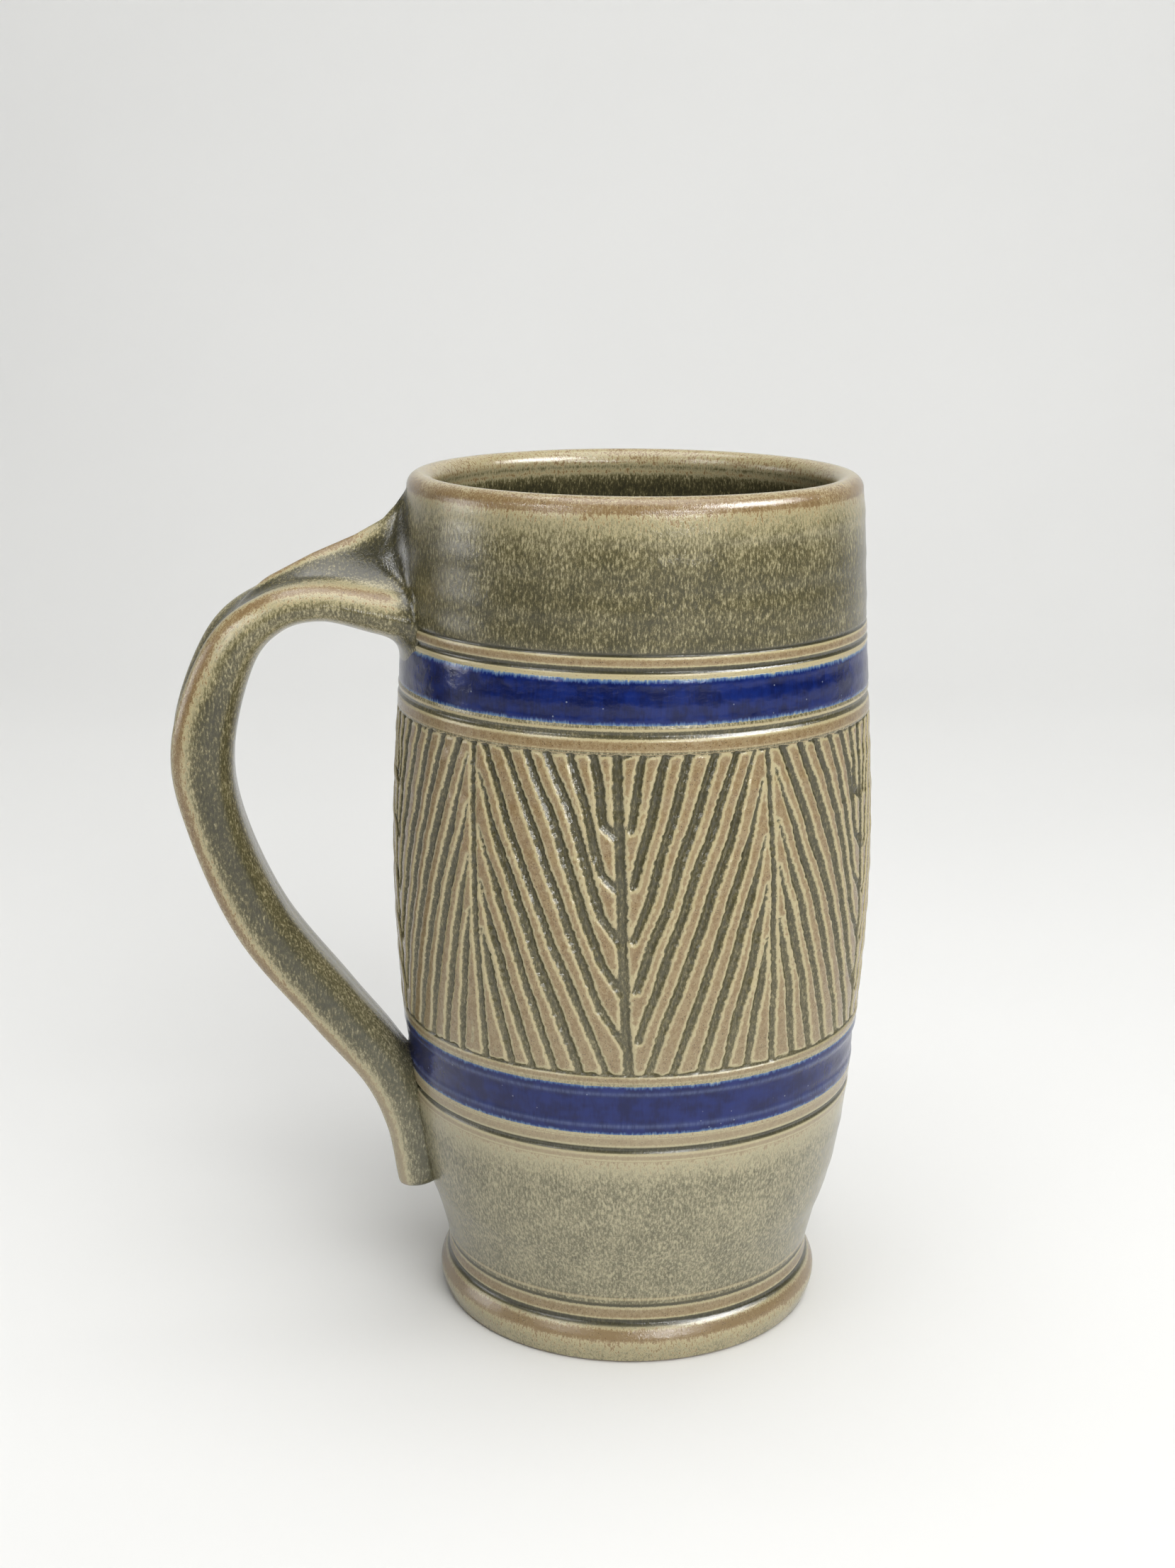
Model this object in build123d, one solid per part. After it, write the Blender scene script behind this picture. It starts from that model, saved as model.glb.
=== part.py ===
"""Lidless stoneware beer stein: a wheel-thrown body, one pulled handle and two blue glaze bands.

Millimetres, +Z up. The origin is the centre of the foot's underside. The handle points along -X.
"""

from build123d import *
import os

# Driving dimensions of the thrown body.
TOTAL_HEIGHT = 160.0
WALL = 5.0
LIP_RADIUS = WALL / 2
RIM_RADIUS = 41.7
BELLY_RADIUS = 45.2
BELLY_HEIGHT = 84.0
NECK_RADIUS = 35.3
NECK_HEIGHT = 9.4
FOOT_RADIUS = 37.0
FOOT_CREST_HEIGHT = 4.3
FOOT_BEVEL_RADIUS = 35.8
FLOOR = 10.5
FLOOR_RADIUS = 24.0

# The wall's outer curve from its foot to the rim: radius and height.
WALL_CURVE = [
    (36.6, 16.5),
    (40.0, 28.0),
    (43.6, 56.0),
    (BELLY_RADIUS, BELLY_HEIGHT),
    (44.2, 113.0),
    (RIM_RADIUS, TOTAL_HEIGHT - LIP_RADIUS),
]
FLARE_ABOVE_NECK = (0.32, 1.0)
TAPER_AT_RIM = (-0.05, 1.0)

# Turned grooves, from the rim down: height, half width and depth.
TURNED_GROOVES = [
    (134.1, 0.5, 0.4),
    (131.4, 0.5, 0.4),
    (121.0, 0.7, 0.5),
    (45.6, 0.5, 0.4),
    (12.9, 0.5, 0.3),
    (11.1, 0.5, 0.3),
]

# Blue glaze bands fill shallow channels: lowest level, highest level, depth.
UPPER_BAND = (122.0, 130.3)
LOWER_BAND = (48.2, 58.3)
BAND_DEPTH = 0.7
LOWER_BAND_COVE = (50.2, 56.5)
COVE_DEPTH = 0.3

# The handle's strap, from the upper joint to the tail. Each section has its centre's
# distance from the axis and height, its half width, its thickness, and the rise of the
# web that carries the outer face up to the rim.
STRAP_STATIONS = [
    (36.5, 134.2, 12.6, 9.6, 19.0),
    (42.0, 135.0, 12.4, 9.2, 16.8),
    (47.5, 136.2, 12.0, 8.4, 10.4),
    (57.5, 138.0, 11.2, 7.2, 4.6),
    (66.5, 136.0, 10.6, 7.8, 1.6),
    (74.0, 128.7, 10.2, 9.8, 0.3),
    (79.2, 112.2, 9.8, 11.4, 0.0),
    (77.4, 97.0, 9.5, 10.4, 0.0),
    (69.6, 77.9, 9.1, 10.5, 0.0),
    (56.9, 60.7, 8.8, 10.2, 0.0),
    (47.6, 48.4, 8.4, 9.8, 0.0),
    (43.5, 37.6, 8.0, 8.6, 0.0),
    (41.8, 26.3, 7.6, 7.8, 0.0),
    (41.6, 24.8, 6.0, 6.2, 0.0),
]
THUMB_CHANNEL = 1.3

# Half of the strap's cross-section, from the thumb channel round to the inner face: each
# point's place across the width and through the thickness, as parts of the half width and
# half thickness, and its share of the thumb channel and of the web.
STRAP_OUTLINE = [
    (0.00, 1.00, 1.00, 1.00),
    (0.36, 1.00, 0.74, 0.70),
    (0.68, 0.98, 0.04, 0.14),
    (0.90, 0.66, 0.00, 0.00),
    (1.00, 0.00, 0.00, 0.00),
    (0.86, -0.66, 0.00, 0.00),
    (0.48, -0.95, 0.00, 0.00),
    (0.00, -1.00, 0.00, 0.00),
]


def upright_face(edges):
    """Stand a half section, drawn as radius against height, up in the XZ plane."""
    return Plane.XZ * make_face(edges)


def wall_curve(inset=0.0):
    """The wall's outer curve, or the same curve moved inwards."""
    points = [(radius - inset, height) for radius, height in WALL_CURVE]
    return Spline(points, tangents=[FLARE_ABOVE_NECK, TAPER_AT_RIM])


def outer_edges():
    """Foot, neck, wall and the outer half of the lip."""
    wall = wall_curve()
    foot_points = [
        (FOOT_BEVEL_RADIUS, 0),
        (FOOT_RADIUS, FOOT_CREST_HEIGHT),
        (NECK_RADIUS, NECK_HEIGHT),
        wall @ 0,
    ]
    foot = Spline(foot_points, tangents=[(1, 1), FLARE_ABOVE_NECK])
    lip_centre = (RIM_RADIUS - LIP_RADIUS, TOTAL_HEIGHT - LIP_RADIUS)
    lip = CenterArc(lip_centre, LIP_RADIUS, 0, 90)
    return [foot, wall, lip]


def inner_edges():
    """The inner half of the lip, the inside of the wall and the floor."""
    lip_centre = (RIM_RADIUS - LIP_RADIUS, TOTAL_HEIGHT - LIP_RADIUS)
    lip = CenterArc(lip_centre, LIP_RADIUS, 90, 90)
    points = [(radius - WALL, height) for radius, height in reversed(WALL_CURVE[1:])]
    points.append((FLOOR_RADIUS, FLOOR))
    wall = Spline(points, tangents=[(-TAPER_AT_RIM[0], -1), (-1, 0)])
    floor = Line((FLOOR_RADIUS, FLOOR), (0, FLOOR))
    return [lip, wall, floor]


def envelope():
    """The body as one solid lump, with nothing hollowed out."""
    lid = Line((RIM_RADIUS - LIP_RADIUS, TOTAL_HEIGHT), (0, TOTAL_HEIGHT))
    axis = Line((0, TOTAL_HEIGHT), (0, 0))
    base = Line((0, 0), (FOOT_BEVEL_RADIUS, 0))
    return revolve(upright_face([*outer_edges(), lid, axis, base]), Axis.Z)


def vessel():
    """The hollow body, before any groove or channel is turned in it."""
    axis = Line((0, FLOOR), (0, 0))
    base = Line((0, 0), (FOOT_BEVEL_RADIUS, 0))
    return revolve(upright_face([*outer_edges(), *inner_edges(), axis, base]), Axis.Z)


def wall_radius(height):
    """The wall's outer radius at a height, found by halving along its curve."""
    curve = wall_curve()
    low, high = 0.0, 1.0
    for _ in range(40):
        middle = (low + high) / 2
        if (curve @ middle).Y < height:
            low = middle
        else:
            high = middle
    return (curve @ low).X


def foot_or_wall_radius(height):
    """The outer radius at a height, also on the short stretch between neck and wall."""
    wall_start = WALL_CURVE[0]
    if height >= wall_start[1]:
        return wall_radius(height)
    share = (height - NECK_HEIGHT) / (wall_start[1] - NECK_HEIGHT)
    return NECK_RADIUS + (wall_start[0] - NECK_RADIUS) * share**2


def turned_groove(height, half_width, depth):
    """A ring that cuts a round-bottomed groove of this width and depth."""
    tool_radius = (half_width**2 + depth**2) / (2 * depth)
    ring_radius = foot_or_wall_radius(height) + tool_radius - depth
    return Pos(0, 0, height) * Torus(ring_radius, tool_radius)


def band(levels, depth):
    """The outer skin of the body between two levels, this deep."""
    low, high = levels
    core = Cone(wall_radius(low) - depth, wall_radius(high) - depth, high - low)
    middle = Pos(0, 0, (low + high) / 2)
    slab = Cylinder(2 * BELLY_RADIUS, high - low)
    return envelope() & (middle * (slab - core))


def strap_section(station, direction):
    """The strap's closed cross-section, square to its run."""
    reach, height, half_width, thickness, web = station
    half = []
    for across, through, channel_share, web_share in STRAP_OUTLINE:
        lift = web * web_share - THUMB_CHANNEL * channel_share
        half.append((across * half_width, through * thickness / 2 + lift))
    mirrored = [(-across, through) for across, through in half[-2:0:-1]]
    plane = Plane(origin=(-reach, 0, height), x_dir=(0, -1, 0), z_dir=direction)
    return plane * make_face(Spline(half + mirrored, periodic=True))


def strap():
    """The pulled strap as a loft through its sections, with both ends still inside the wall."""
    centres = [Vector(-reach, 0, height) for reach, height, *_ in STRAP_STATIONS]
    sections = []
    for index, station in enumerate(STRAP_STATIONS):
        before = centres[max(index - 1, 0)]
        after = centres[min(index + 1, len(centres) - 1)]
        sections.append(strap_section(station, (after - before).normalized()))
    return loft(sections)


def largest(shape):
    """The largest solid of a shape, as one solid."""
    return max(shape.solids(), key=lambda solid: solid.volume)


def thrown_body():
    """The vessel with its turned grooves and the channels that the blue bands fill."""
    body = vessel()
    for groove in TURNED_GROOVES:
        body -= turned_groove(*groove)
    for levels in (UPPER_BAND, LOWER_BAND):
        body -= band(levels, BAND_DEPTH)
    return largest(body)


def lower_blue_glaze_band():
    """The lower band, with a shallow cove along its middle."""
    low, high = LOWER_BAND_COVE
    cove = turned_groove((low + high) / 2, (high - low) / 2, COVE_DEPTH)
    return largest(band(LOWER_BAND, BAND_DEPTH) - cove)


def build():
    """Every node of the stein by name."""
    return {
        "thrown_body": thrown_body(),
        "pulled_handle": largest(strap() - envelope()),
        "upper_blue_glaze_band": largest(band(UPPER_BAND, BAND_DEPTH)),
        "lower_blue_glaze_band": lower_blue_glaze_band(),
    }


os.makedirs("parts", exist_ok=True)
for node, solid in build().items():
    export_step(solid, f"parts/{node}.step")
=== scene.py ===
"""Looks of the lidless stoneware stein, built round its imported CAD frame.

Lengths are in millimetres and turn into metres where a mesh is made, but the stage and the lights
are in metres. Angles round the body are in degrees, from the front, -Y, towards +X, so the handle
is at -90.
"""

from math import cos, pi, radians, sin, tau

import bpy
import numpy as np
from mathutils import Matrix, Vector


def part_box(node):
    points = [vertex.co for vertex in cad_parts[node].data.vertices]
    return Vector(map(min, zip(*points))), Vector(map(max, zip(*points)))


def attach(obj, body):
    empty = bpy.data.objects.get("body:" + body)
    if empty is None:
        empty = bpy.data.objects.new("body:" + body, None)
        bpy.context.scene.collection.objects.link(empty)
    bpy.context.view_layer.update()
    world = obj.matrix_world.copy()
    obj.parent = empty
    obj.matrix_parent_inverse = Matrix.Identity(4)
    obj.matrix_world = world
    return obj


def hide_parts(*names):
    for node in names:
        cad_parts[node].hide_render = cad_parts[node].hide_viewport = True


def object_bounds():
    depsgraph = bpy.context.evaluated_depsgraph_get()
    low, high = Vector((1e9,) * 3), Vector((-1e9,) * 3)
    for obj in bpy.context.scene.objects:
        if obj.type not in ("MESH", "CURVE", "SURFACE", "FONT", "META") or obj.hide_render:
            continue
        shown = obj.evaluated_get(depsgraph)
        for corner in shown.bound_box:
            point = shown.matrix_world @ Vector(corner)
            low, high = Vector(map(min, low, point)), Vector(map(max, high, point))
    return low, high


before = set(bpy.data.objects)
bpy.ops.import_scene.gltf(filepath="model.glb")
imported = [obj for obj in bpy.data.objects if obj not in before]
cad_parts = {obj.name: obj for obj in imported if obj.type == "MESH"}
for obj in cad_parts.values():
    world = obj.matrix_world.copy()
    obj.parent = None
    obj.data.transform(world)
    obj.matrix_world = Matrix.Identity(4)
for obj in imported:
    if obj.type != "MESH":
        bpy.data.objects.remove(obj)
cad_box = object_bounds()

MM = 0.001

# Driving dimensions, which repeat the frame's where a box can't give them. The foot's outline is
# its radius and height, and the wall's smooth curve takes over from it at WALL_START.
TOTAL_HEIGHT = cad_box[1][2] / MM
WALL = 5.0
LIP_RADIUS = WALL / 2
FLOOR_HEIGHT = 10.5
FLOOR_RADIUS = 24.0
FOOT_OUTLINE = [(35.8, 0.0), (37.0, 4.3), (35.3, 9.4), (36.7, 17.0), (40.1, 28.0)]
WALL_START = 17.0
RIM_LEVEL = TOTAL_HEIGHT - LIP_RADIUS

# Mesh density: columns round the carved field, half as many elsewhere, and steps between rows.
COLUMNS = 720
CARVED_STEP = 0.4
TURNED_STEP = 0.28
FOOT_STEP = 0.35
BAND_STEP = 1.2
PLAIN_STEP = 1.2
INSIDE_STEP = 0.9
LIP_STEP = 0.4
LIP_ROWS = 25

# Radii of the rows across the flat underside.
BASE_RADII = (6.0, 18.0, 30.0, 34.6, 35.3)

# Heights where the rows of the foot's lines, the lower lines, the upper lines and the lip begin
# or end, and where the inside starts to round off into the floor.
FOOT_LINES_TOP = 14.0
LOWER_LINES_START = 43.0
UPPER_LINES_END = 134.8
LIP_START = 152.0
INSIDE_CORNER = 33.0

# Levels of the turned lines, from their lowest to their highest point.
BAND_LEVELS = [
    [corner[2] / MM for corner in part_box("lower_blue_glaze_band")],
    [corner[2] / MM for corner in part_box("upper_blue_glaze_band")],
]
CARVED_FIELD = (59.9, 117.7)
GROOVES = [(133.8, 134.5), (131.0, 132.0), (120.0, 121.4), (44.7, 46.1), (10.9, 11.7), (7.2, 8.5)]
RIDGES = [
    (132.0, 133.8),
    (130.3, 131.0),
    (121.4, 122.0),
    (117.7, 120.0),
    (58.3, 59.9),
    (46.1, 48.2),
    (43.2, 44.7),
    (12.3, 13.2),
    (8.5, 10.9),
]

# How deep the carved strokes and turned grooves are, and the channels of the blue glaze.
STROKE_DEPTH = 0.85
LINE_DEPTH = 0.5
CHANNEL_DEPTH = 0.35

# The edge attribute is the distance in mm from the nearest edge of the relief, negative inside
# a groove, and FAR where there is none near.
FAR = 9.0

# The wall's curve is fitted to the outermost point of each slice of the frame this tall, and
# then once more without the points that lie this far under the first fit, in grooves.
FIT_SLICE = 2.0
FIT_DEGREE = 6
FIT_GROOVE = 0.25

# The carved field: stems lean a little, and rows of strokes run down from each rising stem to
# the falling stems at its sides. Rising and falling stems take turns round the body.
STEM_ANGLES = [-48.4, -13.4, 21.9, 56.8, 93.2, 129.6, 166.0, 202.4, 238.8, 275.2]
STEM_LEAN = 3.3
STROKE_HALF_WIDTH = 0.96
FALLING_STEM_HALF_WIDTH = 1.0
RISING_STEM_HALF_WIDTH = 0.7

# Starts of strokes are START_STEP apart along the top edge, and STEM_STRETCH times that down the
# rising stem, which they keep clear of. Ends are END_STEP apart down the falling stem, and
# BOTTOM_SHARE of that along the bottom edge. Steps vary between two sizes. Strokes overrun the
# top and bottom edges a little, and very short ones are left out.
FIRST_START = (4.0, 4.8)
START_STEP = (3.9, 4.5)
STEM_STRETCH = 2.15
RISING_STEM_CLEARANCE = 1.4
FIRST_END = (12.5, 14.5)
END_STEP = (8.8, 9.9)
BOTTOM_SHARE = 0.5
TOP_OVERRUN = 0.5
BOTTOM_OVERRUN = 0.4
SHORTEST_DROP = 5
SHORTEST_REACH = 1.5

# Strokes on a falling stem's left run into it with a small hook, and those on its right stop
# short of it.
JOINED_GAP = 0.4
OPEN_GAP = 2.0
STROKE_HOOK = 1.6

# How much a stroke bows sideways at most, how its width varies, and how round the corners are
# where cuts meet.
STROKE_BOW = 0.35
WIDTH_SPREAD = (0.88, 1.12)
STEM_ROUNDING = 0.35
STROKE_ROUNDING = 0.5

# Half a line is cut this wide along the field's top and bottom edges.
BORDER_CUT = 0.55

# How thick the glaze lies up the outside, by height: -1 is thin and brown, -0.6 cream, 0 the
# usual olive and 1 pooled and dark. Bare clay has a tone of its own, far under these.
BARE = -2.0
OUTSIDE_TONE = [
    (0.0, -0.25),
    (2.0, -0.35),
    (4.4, -0.60),
    (5.2, -1.08),
    (6.3, -1.08),
    (6.9, -0.65),
    (7.6, 0.28),
    (8.5, 0.25),
    (12.0, 0.15),
    (14.0, 0.06),
    (38.0, 0.02),
    (41.5, -0.35),
    (43.2, -0.75),
    (44.6, -0.70),
    (45.0, 0.25),
    (45.8, 0.25),
    (46.2, -0.60),
    (60.0, -0.20),
    (118.0, 0.00),
    (121.0, -0.10),
    (134.5, 0.35),
    (136.5, 0.32),
    (147.0, 0.28),
    (151.0, 0.12),
    (154.0, -0.15),
    (156.2, -0.42),
    (157.6, -0.80),
    (160.0, -0.92),
]

# The same down the inside, by depth under the rim.
INSIDE_TONE = [
    (0.0, -0.45),
    (0.8, -0.10),
    (1.4, -0.40),
    (1.9, -0.95),
    (2.6, 0.10),
    (4.0, 0.55),
    (9.0, 0.75),
    (60.0, 0.85),
]

# The strap of the handle: its centre's distance from the axis and height, its half width and
# its thickness, from inside the wall at the upper joint to the tail.
STRAP_STATIONS = [
    (36.5, 134.2, 12.6, 9.6),
    (42.0, 135.0, 12.4, 9.2),
    (47.5, 136.2, 12.0, 8.4),
    (57.5, 138.0, 11.2, 7.2),
    (66.5, 136.0, 10.6, 7.8),
    (74.0, 128.7, 10.2, 9.8),
    (79.2, 112.2, 9.8, 11.4),
    (77.4, 97.0, 9.5, 10.4),
    (69.6, 77.9, 9.1, 10.5),
    (56.9, 60.7, 8.8, 10.2),
    (47.6, 48.4, 8.4, 9.8),
    (43.5, 37.6, 8.0, 8.6),
    (41.8, 26.3, 7.6, 7.8),
]
THUMB_CHANNEL = 1.3

# Rings of the handle's mesh for each span between stations. The upper joint takes up the first
# four spans, and the web the first six. The joint has rows of its own instead of rings: over
# the bend of its fillet, and from there along the strap.
RINGS = 14
JOINT_RINGS = 4 * RINGS
WEB_RINGS = 6 * RINGS
JOINT_ROWS = 50
BEND_ROWS = 14

# The upper joint's fillet: its size all round, and what it gains over the strap, at the web's
# two sides and under the strap.
FILLET = 1.3
FILLET_ABOVE = 1.4
FILLET_AT_WEB = 3.2
FILLET_BELOW = 3.4

# The rounded end of the tail: its length, how far it turns in, in radians, and how much narrower
# it gets. Below FLARE_TOP, the strap spreads a little within FLARE_REACH of the wall.
TAIL_LENGTH = 2.4
TAIL_TIP = 2.45
TAIL_TURN = 1.35
TAIL_SHRINK = 0.34
TIP_SHRINK = 0.35
FLARE_TOP = 62.0
FLARE_REACH = 1.8

# The crest of the web that rises from the middle of the strap to the rim: distance from the
# axis and height. It starts to rise over WEB_START, and takes up WEB_SHARE of the strap's width.
WEB_CREST = [
    (42.1, 157.0),
    (43.3, 154.7),
    (45.9, 151.9),
    (51.0, 149.1),
    (58.7, 145.9),
    (66.4, 142.0),
    (72.0, 138.4),
    (76.0, 135.0),
]
WEB_START = (67.0, 76.0)
WEB_SHARE = 0.60

# Half of the strap's section: place across the width and through the thickness, as parts of
# the half width and half thickness, the share of the thumb channel and the glaze's tone.
STRAP_OUTLINE = [
    (0.00, 1.00, 1.00, 0.50),
    (0.30, 1.00, 0.80, 0.50),
    (0.62, 1.00, 0.05, -0.30),
    (0.84, 0.74, 0.00, -0.98),
    (0.97, 0.28, 0.00, 0.25),
    (1.00, -0.18, 0.00, 0.62),
    (0.90, -0.62, 0.00, 0.32),
    (0.62, -0.92, 0.00, 0.22),
    (0.30, -1.00, 0.00, 0.22),
    (0.00, -1.00, 0.00, 0.22),
]

# A usual radius of the body, which sets how many waves of noise close round it.
USUAL_RADIUS = 45.0

random = np.random.default_rng(7)


# Curves and smooth noise.


def smooth(value, low, high):
    """0 below low, 1 above high and a smooth step between."""
    share = np.clip((value - low) / (high - low), 0, 1)
    return share * share * (3 - 2 * share)


def curve_through(points, steps):
    """Points along a Catmull-Rom curve through the given points, this many for each span."""
    knots = np.asarray(points, float)
    padded = np.vstack([2 * knots[0] - knots[1], knots, 2 * knots[-1] - knots[-2]])
    share = np.linspace(0, 1, steps, endpoint=False)[:, None]
    pieces = [catmull_rom(padded[i : i + 4], share) for i in range(len(knots) - 1)]
    return np.vstack([*pieces, knots[-1:]])


def closed_curve_through(points, steps):
    """The same, for a closed curve."""
    knots = np.asarray(points, float)
    count = len(knots)
    share = np.linspace(0, 1, steps, endpoint=False)[:, None]
    spans = [[(i + shift) % count for shift in (-1, 0, 1, 2)] for i in range(count)]
    return np.vstack([catmull_rom(knots[span], share) for span in spans])


def catmull_rom(four, share):
    """Points between the middle two of four knots."""
    before, start, end, after = four
    return 0.5 * (
        2 * start
        + (end - before) * share
        + (2 * before - 5 * start + 4 * end - after) * share**2
        + (3 * start - before - 3 * end + after) * share**3
    )


def ripple(theta, height, wavelength, waves=14):
    """Smooth noise of about unit size that closes round the body, as a sum of random waves."""
    total = np.zeros(np.broadcast(theta, height).shape)
    for _ in range(waves):
        heading = random.uniform(0, tau)
        number = tau / (wavelength * random.uniform(0.7, 1.4))
        around = round(number * cos(heading) * USUAL_RADIUS)
        phase = random.uniform(0, tau)
        total += np.cos(around * np.radians(theta) + number * sin(heading) * height + phase)
    return total * (2 / waves) ** 0.5


# The body's profile.


def node_points(node):
    """A CAD node's vertices in millimetres."""
    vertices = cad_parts[node].data.vertices
    points = np.empty(len(vertices) * 3)
    vertices.foreach_get("co", points)
    return points.reshape(-1, 3) / MM


def fit_wall():
    """A smooth polynomial of radius against height, fitted to the frame's outer skin."""
    nodes = ("thrown_body", "upper_blue_glaze_band", "lower_blue_glaze_band")
    points = np.vstack([node_points(node) for node in nodes])
    radius = np.hypot(points[:, 0], points[:, 1])
    height = points[:, 2]
    heights, radii = [], []
    for low in np.arange(WALL_START, RIM_LEVEL, FIT_SLICE):
        inside = (height >= low) & (height < low + FIT_SLICE)
        if inside.any():
            outermost = np.argmax(np.where(inside, radius, 0))
            heights.append(height[outermost])
            radii.append(radius[outermost])
    heights, radii = np.array(heights), np.array(radii)
    first_fit = np.polynomial.Polynomial.fit(heights, radii, FIT_DEGREE)
    level = first_fit(heights) - radii < FIT_GROOVE
    return np.polynomial.Polynomial.fit(heights[level], radii[level], FIT_DEGREE)


wall_polynomial = fit_wall()
foot_curve = curve_through(FOOT_OUTLINE, 24)


def wall_radius(height):
    """The outer radius at a height, with no relief: the foot's curve, then the wall's."""
    height = np.asarray(height, float)
    foot = np.interp(height, foot_curve[:, 1], foot_curve[:, 0])
    share = smooth(height, WALL_START, WALL_START + 8)
    return foot * (1 - share) + wall_polynomial(np.maximum(height, WALL_START)) * share


def turned_lines(height):
    """The distance from a height to the nearest turned edge, negative in a groove, and whether
    the height lies on a ridge, as 0 or 1."""
    edge, land = FAR, 0.0
    for low, high in GROOVES:
        edge = min(edge, max(low - height, height - high))
    for low, high in RIDGES:
        if low < height < high:
            edge = min(edge, height - low, high - height)
            land = 1.0
    return edge, land


# The carved field.


def rows_of_strokes(width, tall, gap):
    """The strokes between two stems: where each starts and ends, and whether it does so on the
    top edge and on the falling stem. Places are measured across from the rising stem and down
    from the top edge."""
    strokes = []
    start = random.uniform(*FIRST_START)
    end = random.uniform(*FIRST_END)
    while True:
        on_top = start < width - 2
        begin = (width - start, -TOP_OVERRUN)
        if not on_top:
            begin = (RISING_STEM_CLEARANCE, (start - width) * STEM_STRETCH + 1.0)
        if begin[1] > tall - SHORTEST_DROP:
            return strokes
        on_stem = end < tall - 1.5
        finish = (width - gap, end)
        if not on_stem:
            from_stem_foot = (end - tall) * BOTTOM_SHARE
            finish = (width - from_stem_foot - 2.0, tall + BOTTOM_OVERRUN)
        if finish[0] > begin[0] + SHORTEST_REACH:
            strokes.append((begin, finish, on_top, on_stem))
        start += random.uniform(*START_STEP)
        end += random.uniform(*END_STEP)


def stroke_line(stroke, joined):
    """The points of a stroke's centre line, and its half width at each. It is narrower at its
    ends, and most where it starts at a rising stem."""
    (x0, y0), (x1, y1), on_top, on_stem = stroke
    bow = random.uniform(-STROKE_BOW, STROKE_BOW)
    hook = STROKE_HOOK if on_stem and joined else 0.0
    share = np.linspace(0, 1, 9)
    xs = x0 + (x1 - x0) * share + bow * np.sin(pi * share) - hook * smooth(share, 0.3, 0.9)
    xs += hook * smooth(share, 0.86, 1.0)
    ys = y0 + (y1 - y0) * share
    full = STROKE_HALF_WIDTH * random.uniform(*WIDTH_SPREAD)
    first = 0.8 if on_top else 0.3
    last = 0.85 if on_stem else 0.8
    rise, fall = smooth(share, 0, 0.3), smooth(share, 0.75, 1.0)
    return np.column_stack([xs, ys]), full * (first + (1 - first) * rise - (1 - last) * fall)


def stroke_field(across, down, line, half_widths):
    """Signed distance to one stroke's edge over a grid of points, negative inside."""
    field = np.full(across.shape, FAR)
    for i, step in enumerate(np.diff(line, axis=0)):
        x, y = line[i]
        along = ((across - x) * step[0] + (down - y) * step[1]) / (step @ step)
        along = np.clip(along, 0, 1)
        off_line = np.hypot(across - (x + along * step[0]), down - (y + along * step[1]))
        half_width = half_widths[i] + along * (half_widths[i + 1] - half_widths[i])
        field = np.minimum(field, off_line - half_width)
    return field


def melt(first, second, rounding):
    """The smaller of two fields, with the corner between them rounded."""
    share = np.clip(0.5 + 0.5 * (second - first) / rounding, 0, 1)
    return second + (first - second) * share - rounding * share * (1 - share)


def from_stem(turn, stem):
    """Degrees from a stem, between -180 and 180."""
    return (turn - stem + 180) % 360 - 180


def carve_stems(field, turn, down, tall, degree):
    """The field with its stems cut in. A degree is given as its length in mm."""
    for index, stem in enumerate(STEM_ANGLES):
        half_width = FALLING_STEM_HALF_WIDTH
        if index % 2 == 0:
            half_width = RISING_STEM_HALF_WIDTH * (0.80 + 0.30 * down / tall)
        off_stem = np.abs(from_stem(turn, stem)) * degree
        field = melt(field, off_stem - half_width, STEM_ROUNDING)
    return field


def carve_strokes(field, turn, down, tall, degree):
    """The field with the strokes between each stem and the next cut in."""
    for index, left in enumerate(STEM_ANGLES):
        right = STEM_ANGLES[(index + 1) % len(STEM_ANGLES)]
        width = ((right - left) % 360) * degree
        from_left = from_stem(turn, left) * degree
        near = np.where((np.abs(from_left - width / 2) < width / 2 + 3).any(axis=0))[0]
        rising_on_left = index % 2 == 0
        gap = JOINED_GAP if rising_on_left else OPEN_GAP
        across = from_left[:, near] if rising_on_left else width - from_left[:, near]
        outside = np.maximum(-across, across - width)
        for stroke in rows_of_strokes(width, tall, gap):
            cut = stroke_field(across, down[:, near], *stroke_line(stroke, rising_on_left))
            cut = np.maximum(cut, outside - 0.4)
            field[:, near] = melt(field[:, near], cut, STROKE_ROUNDING)
    return field


def carved_field(theta, height):
    """Signed distance to the nearest carved edge over the field's grid of points. Noise makes
    the cuts waver."""
    low, high = CARVED_FIELD
    tall = high - low
    degree = radians(1) * float(wall_radius((low + high) / 2))
    warp = 0.10 * ripple(theta, height, 15.0) + 0.05 * ripple(theta, height, 2.0)
    down = high - height + 0.15 * ripple(theta, height, 12.0)
    turn = theta - STEM_LEAN * (high - height) / tall + warp / degree
    border = np.minimum(high - height, height - low) - BORDER_CUT
    field = border + 0.12 * ripple(theta, height, 2.5)
    field = carve_stems(field, turn, down, tall, degree)
    field = carve_strokes(field, turn, down, tall, degree)
    return field + 0.06 * ripple(theta, height, 1.3)


def groove_relief(edge, depth):
    """How far the surface moves for a distance from the edge of a groove this deep."""
    return -depth * smooth(-edge, -0.3, 0.95)


# The body's mesh: rings of vertices from the centre of the underside, up the outside, over
# the lip and down the inside to the centre of the floor.


def levels(low, high, step):
    """Evenly spaced heights from low up to just under high."""
    count = max(2, round((high - low) / step))
    return np.linspace(low, high, count, endpoint=False)


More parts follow.
